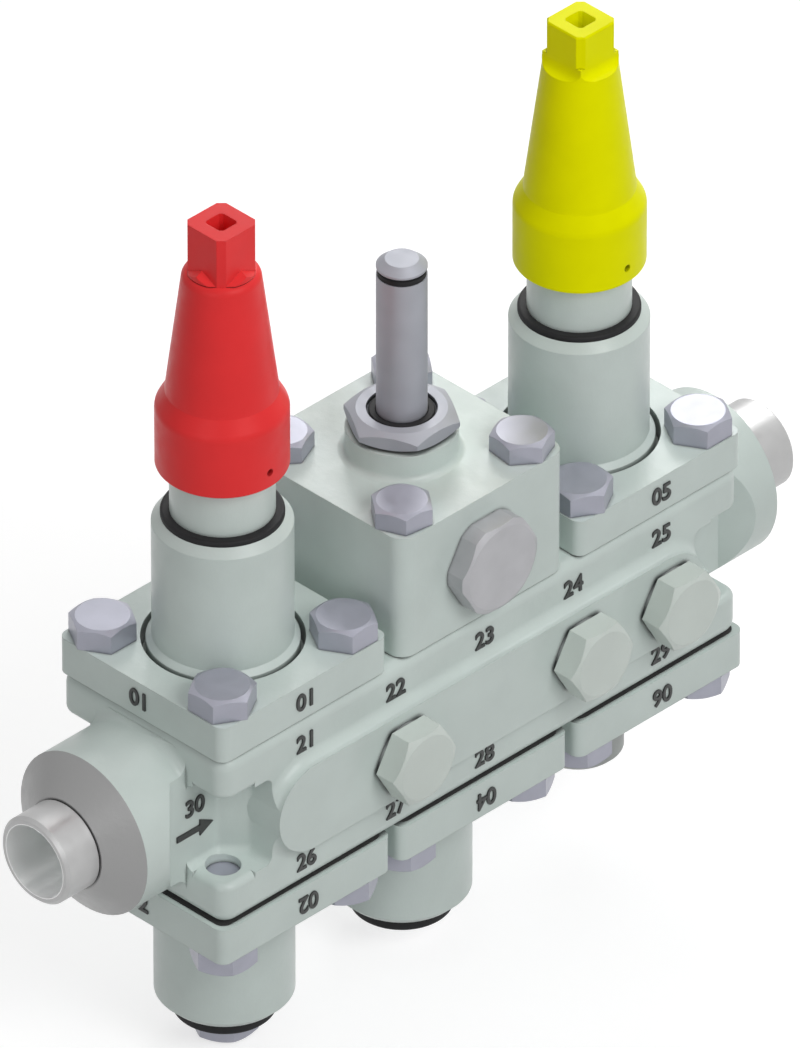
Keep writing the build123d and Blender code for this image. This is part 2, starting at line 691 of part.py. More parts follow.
def solenoid_block():
    """The body of the solenoid module, with its boss, chamber and pilot drillings."""
    block = square_plate(TOP_COVER_WIDTH, BLOCK_CORNER, COVER_SEAT, BLOCK_TOP)
    foot = BLOCK_BOSS_RADIUS + BLOCK_BOSS_FILLET
    root = BLOCK_TOP - BLOCK_BOSS_FILLET
    profile = [
        (0, root), (foot, root), (foot, BLOCK_TOP), (BLOCK_BOSS_RADIUS, BLOCK_TOP),
        (BLOCK_BOSS_RADIUS, BOSS_TOP), (0, BOSS_TOP),
    ]
    block += turned(profile, {3: BLOCK_BOSS_FILLET - EDGE_REST})
    block -= post(SERVO_RADIUS + FIT, COVER_SEAT, CHAMBER_TOP)
    block -= post(TUBE_FLANGE_RADIUS + FIT, TUBE_SEAT, BOSS_TOP)
    block -= post(PILOT_BORE, CHAMBER_TOP, TUBE_SEAT)
    block -= along_y(PILOT_PLUG_THREAD + FIT, 0, -HALF_WIDTH, PILOT_PLUG_LENGTH - HALF_WIDTH, PILOT_HEIGHT)
    block -= along_y(PILOT_BORE, 0, -HALF_WIDTH, 0, PILOT_HEIGHT)
    return block - bolt_clearances(COVER_SEAT, BLOCK_TOP)


def pilot_plug():
    """The side plug of the solenoid block; its head has narrow flats between six wide ones."""
    head = Rot(90, 0, 0) * hex_head(PILOT_FLATS, PILOT_PLUG_HEAD, corners=PILOT_CORNERS)
    thread = along_y(PILOT_PLUG_THREAD, 0, -HALF_WIDTH, PILOT_PLUG_LENGTH - HALF_WIDTH)
    return Pos(0, 0, PILOT_HEIGHT) * (Pos(0, -HALF_WIDTH, 0) * head + thread)


def servo_sleeve():
    """The sleeve that guides the servo piston in the housing socket."""
    bottom = HALF_HEIGHT - SERVO_SLEEVE
    return ring(SOCKET_RADIUS - FIT, SERVO_RADIUS + FIT, bottom, COVER_SEAT)


def servo_piston():
    """The cup-shaped servo piston that closes on the middle seat."""
    inner = SERVO_RADIUS - SERVO_WALL
    floor = DISC_BOTTOM + SERVO_FLOOR
    profile = [
        (0, DISC_BOTTOM), (SERVO_RADIUS, DISC_BOTTOM), (SERVO_RADIUS, SERVO_TOP),
        (inner, SERVO_TOP), (inner, floor), (0, floor),
    ]
    return turned(profile)


def armature_tube():
    """The closed tube that the coil slides over, with its stop core and clip groove."""
    inner = TUBE_RADIUS - TUBE_WALL
    groove_top = TUBE_TOP - TUBE_BUTTON
    groove = groove_top - CLIP_GROOVE
    waist = TUBE_RADIUS - CLIP_GROOVE_DEPTH
    flange_top = TUBE_SEAT + TUBE_FLANGE
    collar_top = BOSS_TOP + TUBE_NUT_HEIGHT - TUBE_NUT_RECESS_DEPTH + TUBE_COLLAR_PROUD
    profile = [
        (inner, TUBE_SEAT), (TUBE_FLANGE_RADIUS, TUBE_SEAT), (TUBE_FLANGE_RADIUS, flange_top),
        (TUBE_COLLAR, flange_top), (TUBE_COLLAR, collar_top), (TUBE_RADIUS, collar_top),
        (TUBE_RADIUS, groove), (waist, groove), (waist, groove_top), (TUBE_RADIUS, groove_top),
        (TUBE_RADIUS, groove_top + TUBE_BUTTON_EDGE), (TUBE_BUTTON_FLAT, TUBE_TOP),
        (0, TUBE_TOP), (0, CORE_BOTTOM), (inner, CORE_BOTTOM),
    ]
    return turned(profile)


def tube_nut():
    """The nut that clamps the armature tube in the boss."""
    flange_top = TUBE_SEAT + TUBE_FLANGE
    top = BOSS_TOP + TUBE_NUT_HEIGHT
    nut = Pos(0, 0, BOSS_TOP) * hex_head(TUBE_NUT_FLATS, TUBE_NUT_HEIGHT, TUBE_NUT_INSET, both_ends=True)
    nut += post(TUBE_FLANGE_RADIUS, flange_top, BOSS_TOP)
    nut -= post(TUBE_COLLAR + FIT, flange_top, top)
    return nut - post(TUBE_NUT_RECESS, top - TUBE_NUT_RECESS_DEPTH, top)


def tube_clip():
    """The ring in the groove near the top of the tube, where the coil's clip snaps in."""
    bottom = TUBE_TOP - TUBE_BUTTON - CLIP_GROOVE
    waist = TUBE_RADIUS - CLIP_GROOVE_DEPTH
    return ring(TUBE_RADIUS - CLIP_DROP, waist, bottom, bottom + CLIP_THICKNESS)


def armature():
    """The iron core that the coil lifts off the pilot orifice."""
    bottom = TUBE_SEAT + SEAL_GAP
    return post(TUBE_RADIUS - TUBE_WALL - FIT, bottom, bottom + ARMATURE_LENGTH)


def bowl(floor_hole):
    """A bowl drawn upside down: flange under the cover, spigot in the socket, hollow inside."""
    flange_top = COVER_SEAT + FLANGE_THICKNESS
    spigot = SOCKET_RADIUS - FIT
    profile = [
        (BOWL_INNER, HALF_HEIGHT - BOWL_SPIGOT), (spigot, HALF_HEIGHT - BOWL_SPIGOT),
        (spigot, COVER_SEAT), (FLANGE_RADIUS, COVER_SEAT), (FLANGE_RADIUS, flange_top),
        (BOWL_RADIUS, flange_top), (BOWL_RADIUS, BOWL_BOTTOM - BOWL_CHAMFER),
        (BOWL_RADIUS - BOWL_CHAMFER, BOWL_BOTTOM), (floor_hole, BOWL_BOTTOM),
        (floor_hole, BOWL_FLOOR_TOP), (BOWL_INNER, BOWL_FLOOR_TOP),
    ]
    return turned(profile)


def bowl_ring(hole):
    """The black ring under a bowl."""
    top = BOWL_BOTTOM + BOWL_RING_HEIGHT
    return turned(
        [(hole, BOWL_BOTTOM), (BOWL_RING_RADIUS, BOWL_BOTTOM), (BOWL_RING_RADIUS, top), (hole, top)],
        {2: BOWL_RING_EDGE},
    )


def drain_plug():
    """The hexagonal plug that drains the filter bowl."""
    seat = BOWL_BOTTOM + BOWL_RING_HEIGHT
    return Pos(0, 0, seat) * hex_head(DRAIN_FLATS, DRAIN_HEIGHT) + post(DRAIN_THREAD, BOWL_FLOOR_TOP, seat)


def filter_insert():
    """The mesh cylinder with its solid end and its collar in the bowl."""
    top = HALF_HEIGHT - BOWL_SPIGOT
    bottom = BOWL_FLOOR_TOP - FILTER_CAP
    mesh = FILTER_RADIUS - FILTER_MESH_WALL
    profile = [
        (mesh, top), (BOWL_INNER - FIT, top), (BOWL_INNER - FIT, top + FILTER_CAP),
        (FILTER_RADIUS, top + FILTER_CAP), (FILTER_RADIUS, bottom), (0, bottom),
        (0, bottom - FILTER_CAP), (mesh, bottom - FILTER_CAP),
    ]
    return turned(profile)


def check_seat():
    """The seat ring of the check valve, at the mouth of its bowl."""
    return ring(BOWL_INNER - FIT, CHECK_SEAT_INNER, COVER_SEAT, CHECK_SEAT_FACE)


def check_disc():
    """The check valve's disc on its guide stem."""
    face = CHECK_SEAT_FACE + SEAL_GAP
    back = face + CHECK_DISC
    return post(CHECK_DISC_RADIUS, face, back) + post(CHECK_STEM_RADIUS, back, back + CHECK_STEM_LENGTH)


def bowl_end_plug():
    """The flat-headed plug that closes the check bowl from below."""
    seat = BOWL_BOTTOM + BOWL_RING_HEIGHT
    head = post(END_PLUG_RADIUS, seat, seat + END_PLUG_HEAD)
    return post(DRAIN_THREAD, BOWL_FLOOR_TOP, seat) + head


def blank_insert():
    """The plain insert that closes the last bottom socket."""
    flange_top = COVER_SEAT + FLANGE_THICKNESS
    bottom = COVER_TOP + BLANK_LENGTH
    spigot = SOCKET_RADIUS - FIT
    profile = [
        (0, HALF_HEIGHT - BOWL_SPIGOT), (spigot, HALF_HEIGHT - BOWL_SPIGOT), (spigot, COVER_SEAT),
        (FLANGE_RADIUS, COVER_SEAT), (FLANGE_RADIUS, flange_top), (BLANK_RADIUS, flange_top),
        (BLANK_RADIUS, bottom - BLANK_CHAMFER), (BLANK_RADIUS - BLANK_CHAMFER, bottom), (0, bottom),
    ]
    return turned(profile)


def port_plug():
    """A hexagonal plug in the pad, drawn at X 0."""
    seat = PAD_FACE + PORT_WASHER
    head = Pos(0, -seat, 0) * Rot(90, 0, 0) * hex_head(PORT_FLATS, PORT_HEAD)
    return head + along_y(PORT_THREAD, 0, -seat, PORT_THREAD_LENGTH - PAD_FACE)


def port_washer():
    """The sealing washer under a port plug, drawn at X 0."""
    y0 = -PAD_FACE - PORT_WASHER
    return along_y(PORT_WASHER_RADIUS, 0, y0, -PAD_FACE) - along_y(PORT_THREAD, 0, y0, -PAD_FACE)


def stem_module(name, x, cap, nose, tip):
    """The pieces of a module with a spindle, named after it."""
    return {
        f"{name}_cover": Pos(x, 0, 0) * cover(TOP_COVER_WIDTH),
        f"{name}_bonnet": Pos(x, 0, 0) * bonnet(),
        f"{name}_spigot_seal": Pos(x, 0, 0) * spigot_seal(),
        f"{name}_neck_ring": Pos(x, 0, 0) * neck_ring(),
        f"{name}_packing": Pos(x, 0, 0) * packing(),
        f"{name}_gland": Pos(x, 0, 0) * gland(),
        f"{name}_spindle": Pos(x, 0, 0) * spindle(),
        f"{name}_cone": Pos(x, 0, 0) * valve_cone(nose, tip),
        f"{name}_seat": Pos(x, 0, 0) * seat_ring(),
        f"{name}_bolts": Pos(x, 0, 0) * bolt_group(
            COVER_TOP, BOLT_HEAD_FLATS, BOLT_HEAD_HEIGHT, COVER_BOLT_TURN),
        f"{name}_cap": Pos(x, 0, 0) * cap,
    }


def solenoid_module(x):
    """The pieces of the solenoid module."""
    place = Pos(x, 0, 0)
    armature_top = TUBE_SEAT + SEAL_GAP + ARMATURE_LENGTH
    servo_floor = DISC_BOTTOM + SERVO_FLOOR
    return {
        "solenoid_block": place * solenoid_block(),
        "solenoid_bolts": place * bolt_group(
            BLOCK_TOP, BLOCK_BOLT_FLATS, BLOCK_BOLT_HEAD_HEIGHT, BLOCK_BOLT_TURN),
        "pilot_plug": place * pilot_plug(),
        "servo_seat": place * seat_ring(),
        "servo_sleeve": place * servo_sleeve(),
        "servo_piston": place * servo_piston(),
        "servo_spring": place * spring(
            SERVO_SPRING_RADIUS, servo_floor, CHAMBER_TOP, SERVO_SPRING_TURNS),
        "armature_tube": place * armature_tube(),
        "tube_nut": place * tube_nut(),
        "tube_clip": place * tube_clip(),
        "armature": place * armature(),
        "armature_spring": place * spring(
            ARMATURE_SPRING_RADIUS, armature_top, CORE_BOTTOM, ARMATURE_SPRING_TURNS),
    }


def bottom_cover_set(name, x):
    """The cover and bolts of a module on the underside."""
    return {
        f"{name}_cover": Pos(x, 0, 0) * upside_down(cover(BOTTOM_COVER_WIDTH)),
        f"{name}_bolts": Pos(x, 0, 0) * upside_down(
            bolt_group(COVER_TOP, BOLT_HEAD_FLATS, BOLT_HEAD_HEIGHT, COVER_BOLT_TURN)),
    }


def bottom_modules():
    """The filter, check and blank modules on the underside."""
    x2, x4, x6 = AXES
    spring_start = CHECK_SEAT_FACE + SEAL_GAP + CHECK_DISC
    pieces = {}
    for name, x in zip(("filter", "check", "blank"), AXES):
        pieces.update(bottom_cover_set(name, x))
    pieces["filter_bowl"] = Pos(x2, 0, 0) * upside_down(bowl(DRAIN_THREAD + FIT))
    pieces["filter_insert"] = Pos(x2, 0, 0) * upside_down(filter_insert())
    pieces["filter_bowl_ring"] = Pos(x2, 0, 0) * upside_down(bowl_ring(DRAIN_THREAD))
    pieces["drain_plug"] = Pos(x2, 0, 0) * upside_down(drain_plug())
    pieces["check_bowl"] = Pos(x4, 0, 0) * upside_down(bowl(DRAIN_THREAD + FIT))
    pieces["check_seat"] = Pos(x4, 0, 0) * upside_down(check_seat())
    pieces["check_disc"] = Pos(x4, 0, 0) * upside_down(check_disc())
    pieces["check_spring"] = Pos(x4, 0, 0) * upside_down(
        spring(CHECK_SPRING_RADIUS, spring_start, BOWL_FLOOR_TOP, CHECK_SPRING_TURNS))
    pieces["check_bowl_ring"] = Pos(x4, 0, 0) * upside_down(bowl_ring(DRAIN_THREAD))
    pieces["check_end_plug"] = Pos(x4, 0, 0) * upside_down(bowl_end_plug())
    pieces["blank_insert"] = Pos(x6, 0, 0) * upside_down(blank_insert())
    return pieces


def shared_pieces():
    """Gaskets, flange seals, port plugs and washers: alike pieces as groups."""
    gaskets = []
    seals = []
    for x in AXES:
        gaskets.append(Pos(x, 0, 0) * cover_gasket(TOP_COVER_WIDTH))
        gaskets.append(Pos(x, 0, 0) * upside_down(cover_gasket(TOP_COVER_WIDTH)))
        seals.append(Pos(x, 0, 0) * flange_seal())
        seals.append(Pos(x, 0, 0) * upside_down(flange_seal()))
    plugs = [Pos(x, 0, 0) * port_plug() for x in PORTS]
    washers = [Pos(x, 0, 0) * port_washer() for x in PORTS]
    return {
        "cover_gaskets": Compound(gaskets),
        "flange_seals": Compound(seals),
        "port_plugs": Compound(plugs),
        "port_washers": Compound(washers),
    }


def valve_station():
    """Every piece of the station by name."""
    pieces = {"housing": housing(), "inlet_stub": stub()}
    pieces["outlet_stub"] = mirror(stub(), about=Plane.YZ.offset(LENGTH / 2))
    pieces.update(stem_module("stop", AXES[0], red_cap(), STOP_NOSE, CONE_NOSE_TIP))
    pieces.update(stem_module("regulating", AXES[2], yellow_cap(), REGULATING_NOSE, REGULATING_TIP))
    pieces.update(solenoid_module(AXES[1]))
    pieces.update(bottom_modules())
    pieces.update(shared_pieces())
    return pieces


os.makedirs("parts", exist_ok=True)
for node, solid in valve_station().items():
    export_step(solid, f"parts/{node}.step")
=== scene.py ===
import json
import math

import bmesh
import bpy
from mathutils import Matrix, Vector


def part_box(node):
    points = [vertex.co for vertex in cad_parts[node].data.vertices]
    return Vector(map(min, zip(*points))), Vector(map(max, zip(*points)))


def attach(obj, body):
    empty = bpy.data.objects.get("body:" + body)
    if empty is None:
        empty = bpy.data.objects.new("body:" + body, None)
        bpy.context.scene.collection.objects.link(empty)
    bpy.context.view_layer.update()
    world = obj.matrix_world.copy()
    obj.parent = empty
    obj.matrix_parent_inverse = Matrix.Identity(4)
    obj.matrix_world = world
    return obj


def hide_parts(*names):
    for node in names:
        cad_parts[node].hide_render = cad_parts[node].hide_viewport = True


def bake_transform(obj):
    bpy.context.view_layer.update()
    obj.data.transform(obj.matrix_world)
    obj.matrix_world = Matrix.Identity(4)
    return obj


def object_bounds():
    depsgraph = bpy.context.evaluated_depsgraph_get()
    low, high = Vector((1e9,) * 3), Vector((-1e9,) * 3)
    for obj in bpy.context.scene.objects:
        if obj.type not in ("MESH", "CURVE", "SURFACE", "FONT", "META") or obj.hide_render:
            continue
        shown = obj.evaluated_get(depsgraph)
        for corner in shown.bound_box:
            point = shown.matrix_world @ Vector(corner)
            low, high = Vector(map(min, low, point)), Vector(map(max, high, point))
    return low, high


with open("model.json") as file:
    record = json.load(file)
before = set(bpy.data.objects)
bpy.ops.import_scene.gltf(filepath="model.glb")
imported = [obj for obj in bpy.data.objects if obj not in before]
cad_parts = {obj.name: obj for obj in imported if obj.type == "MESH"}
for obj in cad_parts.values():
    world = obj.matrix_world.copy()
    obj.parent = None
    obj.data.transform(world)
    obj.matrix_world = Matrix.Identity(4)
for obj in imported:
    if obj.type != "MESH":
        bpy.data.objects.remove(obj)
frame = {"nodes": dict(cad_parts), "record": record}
CAD_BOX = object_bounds()
MM = 0.001

# The view of the photograph: a far camera with a long lens, so that edges stay parallel
VIEW_TURN = 45.0
VIEW_TILT = 35.15
VIEW_TARGET = Vector((142.8, 0.0, 43.0)) * MM
VIEW_DISTANCE = 8.0
FRAME_HEIGHT = 291.6 * MM
SENSOR = 36.0
CLIP_START = 0.1
CLIP_END = 40.0


def make_camera():
    """The camera at the photograph's angle, framing the same stretch."""
    turn, tilt = math.radians(VIEW_TURN), math.radians(VIEW_TILT)
    back = Vector((-math.sin(turn) * math.cos(tilt), -math.cos(turn) * math.cos(tilt), math.sin(tilt)))
    data = bpy.data.cameras.new("camera")
    data.sensor_width = SENSOR
    data.lens = SENSOR * VIEW_DISTANCE / FRAME_HEIGHT
    data.clip_start = CLIP_START
    data.clip_end = CLIP_END
    camera = bpy.data.objects.new("camera", data)
    camera.location = VIEW_TARGET + back * VIEW_DISTANCE
    camera.rotation_mode = "QUATERNION"
    camera.rotation_quaternion = (-back).to_track_quat("-Z", "Y")
    bpy.context.scene.collection.objects.link(camera)
    bpy.context.scene.camera = camera


# Materials. Noise scales are in features per metre, and distances in metres.

# Nearly all values of a noise field lie in this stretch
NOISE_LOW = 0.3
NOISE_HIGH = 0.7
# The painted corner shade goes from dark to white over this share of open sky
CORNER_CLOSED = 0.25
CORNER_OPEN = 0.75


class Shader:
    """A small helper that adds nodes and links to one material."""

    def __init__(self, name):
        self.material = bpy.data.materials.new(name)
        self.material.use_nodes = True
        self.nodes = self.material.node_tree.nodes
        self.links = self.material.node_tree.links
        self.nodes.clear()
        self.surface = self.add("ShaderNodeBsdfPrincipled")
        self.output = self.add("ShaderNodeOutputMaterial")
        self.link(self.surface, "BSDF", self.output, "Surface")

    def add(self, kind, **values):
        node = self.nodes.new(kind)
        for key, value in values.items():
            setattr(node, key, value)
        return node

    def link(self, source, output, target, socket):
        self.links.new(source.outputs[output], target.inputs[socket])

    def noise(self, scale, detail=3.0, roughness=0.5):
        """A noise field in object space."""
        place = self.add("ShaderNodeTexCoord")
        noise = self.add("ShaderNodeTexNoise")
        noise.inputs["Scale"].default_value = scale
        noise.inputs["Detail"].default_value = detail
        noise.inputs["Roughness"].default_value = roughness
        self.link(place, "Object", noise, "Vector")
        return noise

    def remap(self, source, output, low, high):
        """A noise value stretched from its usual range to low..high."""
        node = self.add("ShaderNodeMapRange")
        node.inputs["From Min"].default_value = NOISE_LOW
        node.inputs["From Max"].default_value = NOISE_HIGH
        node.inputs["To Min"].default_value = low
        node.inputs["To Max"].default_value = high
        self.link(source, output, node, "Value")
        return node

    def multiply(self, color_a, out_a, color_b, out_b):
        """Two colours multiplied."""
        mix = self.add("ShaderNodeMix", data_type="RGBA", blend_type="MULTIPLY")
        mix.inputs["Factor"].default_value = 1.0
        self.links.new(color_a.outputs[out_a], mix.inputs["A"])
        self.links.new(color_b.outputs[out_b], mix.inputs["B"])
        return mix

    def math(self, operation, *values):
        """A maths node; each value is a number or a (node, output) pair."""
        node = self.add("ShaderNodeMath", operation=operation)
        for i, value in enumerate(values):
            if isinstance(value, tuple):
                self.links.new(value[0].outputs[value[1]], node.inputs[i])
            else:
                node.inputs[i].default_value = value
        return node, "Value"

    def axis(self, name):
        """One coordinate in object space."""
        place = self.add("ShaderNodeTexCoord")
        parts = self.add("ShaderNodeSeparateXYZ")
        self.link(place, "Object", parts, "Vector")
        return parts, name

    def patch(self, color, output, mask, other):
        """The colour, with another one where the mask is 1."""
        mix = self.add("ShaderNodeMix", data_type="RGBA", blend_type="MIX")
        mix.inputs["B"].default_value = (*other, 1)
        self.links.new(color.outputs[output], mix.inputs["A"])
        self.link(*mask, mix, "Factor")
        return mix

    def mottled(self, color, spread, scale):
        """The colour with a slight drift in brightness over the surface."""
        noise = self.noise(scale, 4.0)
        ramp = self.add("ShaderNodeValToRGB")
        low = [c * (1 - spread) for c in color]
        high = [min(1.0, c * (1 + spread)) for c in color]
        ramp.color_ramp.elements[0].position = NOISE_LOW
        ramp.color_ramp.elements[1].position = NOISE_HIGH
        ramp.color_ramp.elements[0].color = (*low, 1)
        ramp.color_ramp.elements[1].color = (*high, 1)
        self.link(noise, "Fac", ramp, "Fac")
        return ramp

    def corner_shade(self, distance, darkness):
        """A painted-shade mask from ambient occlusion: dark in narrow corners and seams, where shade
        falls, and white elsewhere.
        """
        corners = self.add("ShaderNodeAmbientOcclusion", samples=4)
        corners.inputs["Distance"].default_value = distance
        ramp = self.add("ShaderNodeValToRGB")
        ramp.color_ramp.elements[0].position = CORNER_CLOSED
        ramp.color_ramp.elements[1].position = CORNER_OPEN
        ramp.color_ramp.elements[0].color = (darkness, darkness, darkness, 1)
        ramp.color_ramp.elements[1].color = (1, 1, 1, 1)
        self.link(corners, "AO", ramp, "Fac")
        return ramp

    def bumps(self, layers, edge):
        """Bump layers (noise node, output, height) over a rounded-edge normal."""
        last = self.add("ShaderNodeBevel", samples=3)
        last.inputs["Radius"].default_value = edge
        socket = "Normal"
        for source, output, height in layers:
            bump = self.add("ShaderNodeBump")
            bump.inputs["Strength"].default_value = 1.0
            bump.inputs["Distance"].default_value = height
            self.link(source, output, bump, "Height")
            self.link(last, socket, bump, "Normal")
            last = bump
        self.link(last, "Normal", self.surface, "Normal")


def past_ends(s, low, high):
    """A mask that is 1 on the machined faces at the two line ends and 0 between them."""
    along = s.axis("X")
    return s.math("MAXIMUM", s.math("LESS_THAN", along, low), s.math("GREATER_THAN", along, high))


def in_bore(s, radius):
    """A mask that is 1 inside the line's bore."""
    y, z = s.axis("Y"), s.axis("Z")
    square = s.math("ADD", s.math("MULTIPLY", y, y), s.math("MULTIPLY", z, z))
    return s.math("LESS_THAN", s.math("SQRT", square), radius)


PAINT_DRIFT = 0.035
PAINT_DRIFT_SCALE = 60
# Painted shade in the corners of paint: how far it reaches and how dark it gets
PAINT_CORNER = 2.2 * MM
PAINT_CORNER_DARKNESS = 0.10
PAINT_GLOSS_SCALE = 220
PAINT_GLOSSIER = 0.06
PAINT_DULLER = 0.08
PAINT_FINE_SCALE = 2600
PAINT_COARSE_SCALE = 500
PAINT_FINE_SHARE = 0.35
PAINT_EDGE = 0.35 * MM
CAST_RELIEF = 0.06 * MM
SMOOTH_RELIEF = 0.02 * MM


def painted(name, color, rough, cast=CAST_RELIEF, specular=0.5, tint=(1, 1, 1), ends=None):
    """Paint over a cast or machined surface, with bare machined ends if they are given."""
    s = Shader(name)
    tone, result = s.mottled(color, PAINT_DRIFT, PAINT_DRIFT_SCALE), "Color"
    if ends:
        bare = past_ends(s, *ends)
        tone, result = s.patch(tone, result, bare, BARE_STEEL), "Result"
        s.link(*s.math("MULTIPLY", bare, BARE_METAL), s.surface, "Metallic")
    # Painted shade: the colour is darkened in corners and seams by ambient occlusion
    painted_shade = s.corner_shade(PAINT_CORNER, PAINT_CORNER_DARKNESS)
    mixed = s.multiply(tone, result, painted_shade, "Color")
    s.link(mixed, "Result", s.surface, "Base Color")
    cloud = s.noise(PAINT_GLOSS_SCALE, 5.0, 0.6)
    gloss = s.remap(cloud, "Fac", rough - PAINT_GLOSSIER, rough + PAINT_DULLER)
    s.link(gloss, "Result", s.surface, "Roughness")
    s.surface.inputs["Specular IOR Level"].default_value = specular
    s.surface.inputs["Specular Tint"].default_value = (*tint, 1)
    fine = s.noise(PAINT_FINE_SCALE, 2.0)
    coarse = s.noise(PAINT_COARSE_SCALE, 3.0)
    s.bumps([(coarse, "Fac", cast), (fine, "Fac", cast * PAINT_FINE_SHARE)], PAINT_EDGE)
    return s.material


METAL_DRIFT = 0.05
METAL_DRIFT_SCALE = 150
# Painted shade in the corners of metal: how far it reaches and how dark it gets
METAL_CORNER = 1.8 * MM
METAL_CORNER_DARKNESS = 0.12
METAL_MARK_SCALE = 300
METAL_GLOSSIER = 0.05
METAL_DULLER = 0.06
METAL_FINE_SCALE = 1600
METAL_RELIEF = 0.003 * MM
METAL_EDGE = 0.25 * MM


def plated(name, color, rough, metal=0.85, bore=None):
    """Plated or turned steel with faint marks, painted lighter in its bore, as if lit inside, if a
    radius is given.
    """
    s = Shader(name)
    tone, result = s.mottled(color, METAL_DRIFT, METAL_DRIFT_SCALE), "Color"
    if bore:
        # Painted light: the bore gets a much lighter tone, as if it were lit inside
        tone, result = s.patch(tone, result, in_bore(s, bore), BORE_PAINTED_LIGHT), "Result"
    # Painted shade: the colour is darkened in corners and seams by ambient occlusion
    painted_shade = s.corner_shade(METAL_CORNER, METAL_CORNER_DARKNESS)
    mixed = s.multiply(tone, result, painted_shade, "Color")
    s.link(mixed, "Result", s.surface, "Base Color")
    s.surface.inputs["Metallic"].default_value = metal
    marks = s.noise(METAL_MARK_SCALE, 3.0, 0.6)
    gloss = s.remap(marks, "Fac", rough - METAL_GLOSSIER, rough + METAL_DULLER)
    s.link(gloss, "Result", s.surface, "Roughness")
    fine = s.noise(METAL_FINE_SCALE, 2.0)
    s.bumps([(fine, "Fac", METAL_RELIEF)], METAL_EDGE)
    return s.material


MATT_ROUGHNESS = 0.6
MATT_SPECULAR = 0.25
MATT_DRIFT = 0.15
MATT_DRIFT_SCALE = 400
MATT_FINE_SCALE = 1500
MATT_RELIEF = 0.03 * MM
MATT_EDGE = 0.2 * MM


def matt(name, color):
    """Rubber, packing and gasket material."""
    s = Shader(name)
    tone = s.mottled(color, MATT_DRIFT, MATT_DRIFT_SCALE)
    s.link(tone, "Color", s.surface, "Base Color")
    s.surface.inputs["Roughness"].default_value = MATT_ROUGHNESS
    s.surface.inputs["Specular IOR Level"].default_value = MATT_SPECULAR
    fine = s.noise(MATT_FINE_SCALE, 3.0)
    s.bumps([(fine, "Fac", MATT_RELIEF)], MATT_EDGE)
    return s.material


BODY_COLOR = (0.58, 0.655, 0.625)
BARE_STEEL = (0.37, 0.37, 0.37)
BARE_METAL = 0.3
# A much lighter tone painted in the bore of the weld stubs, standing in for light inside it
BORE_PAINTED_LIGHT = (0.93, 0.93, 0.93)
BORE_RADIUS = 11.4 * MM
END_TO_SHOULDER = 19.2 * MM
LINE_ENDS = (CAD_BOX[0].x + END_TO_SHOULDER, CAD_BOX[1].x - END_TO_SHOULDER)
SLOT_MATERIALS = {
    "body": painted("body_paint", BODY_COLOR, 0.34, ends=LINE_ENDS),
    "insert": painted("insert_paint", (0.34, 0.36, 0.35), 0.45),
    "port_plug": painted("port_plug_paint", (0.61, 0.67, 0.63), 0.36),
    "red": painted("red_paint", (0.84, 0.036, 0.038), 0.38, SMOOTH_RELIEF, 0.25, (1, 0.6, 0.6)),
    "yellow": painted("yellow_paint", (0.86, 0.86, 0.0), 0.38, SMOOTH_RELIEF, 0.08, (1, 1, 0.05)),
    "weld_steel": plated("weld_steel", (0.50, 0.50, 0.50), 0.36, 0.5, BORE_RADIUS),
    "bolt": plated("zinc_plate", (0.38, 0.385, 0.45), 0.36, 0.45),
    "steel": plated("turned_steel", (0.58, 0.58, 0.60), 0.34),
    "tube": plated("tube_steel", (0.38, 0.39, 0.43), 0.56, 0.5),
    "plug_steel": plated("plug_steel", (0.46, 0.46, 0.48), 0.38, 0.35),
    "washer": plated("washer_metal", (0.36, 0.37, 0.37), 0.40, 0.6),
    "spring": plated("spring_wire", (0.55, 0.55, 0.57), 0.34),
    "mesh": plated("mesh_wire", (0.55, 0.55, 0.55), 0.35),
    "rubber": matt("black_rubber", (0.010, 0.010, 0.011)),
    "packing": matt("packing", (0.80, 0.80, 0.76)),
    "gasket": matt("gasket_fibre", (0.03, 0.03, 0.03)),
}
MARK_PAINT = painted("mark_paint", (0.035, 0.037, 0.036), 0.45)


def dress_cad_nodes():
    """Gives every CAD node the material of its slot."""
    slots = {p["node"]: p["material_slot"] for p in frame["record"]["subparts"]}
    for name, node in frame["nodes"].items():
        node.data.materials.clear()
        node.data.materials.append(SLOT_MATERIALS[slots[name]])


# Cast marks: plain numbers and a flow arrow, raised on the castings

MARK_HEIGHT = 5.6 * MM
MARK_RAISE = 0.45 * MM
MARK_SINK = 0.3 * MM
FONT_SIZE_TO_HEIGHT = 1.38
FONT_BOLDNESS = 0.14 * MM
FONT_RESOLUTION = 6
ARROW_SHAFT_SHARE = 0.17
ARROW_HEAD_SHARE = 0.95
FRONT = (Vector((0, -1, 0)), Vector((0, 0, 1)))
FRONT_TURNED = (Vector((0, -1, 0)), Vector((0, 0, -1)))
INLET_END = (Vector((-1, 0, 0)), Vector((0, 0, 1)))


def facing(place, side):
    """The matrix of a flat mark at a place, its face and its upright given by side."""
    out, up = side
    along = up.cross(out)
    turn = Matrix((along, up, out)).transposed().to_4x4()
    return Matrix.Translation(place) @ turn


def cast_number(name, text, place, side):
    """A raised number on a casting, sunk a little into the face it stands on."""
    curve = bpy.data.curves.new(name, "FONT")
    curve.body = text
    curve.size = MARK_HEIGHT * FONT_SIZE_TO_HEIGHT
    curve.align_x = "CENTER"
    curve.align_y = "CENTER"
    curve.extrude = (MARK_RAISE + MARK_SINK) / 2
    curve.offset = FONT_BOLDNESS
    curve.resolution_u = FONT_RESOLUTION
    curve.materials.append(MARK_PAINT)
    mark = bpy.data.objects.new(name, curve)
    out = side[0]
    mark.matrix_world = facing(Vector(place) + out * (MARK_RAISE - MARK_SINK) / 2, side)
    bpy.context.scene.collection.objects.link(mark)
    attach(mark, "station")


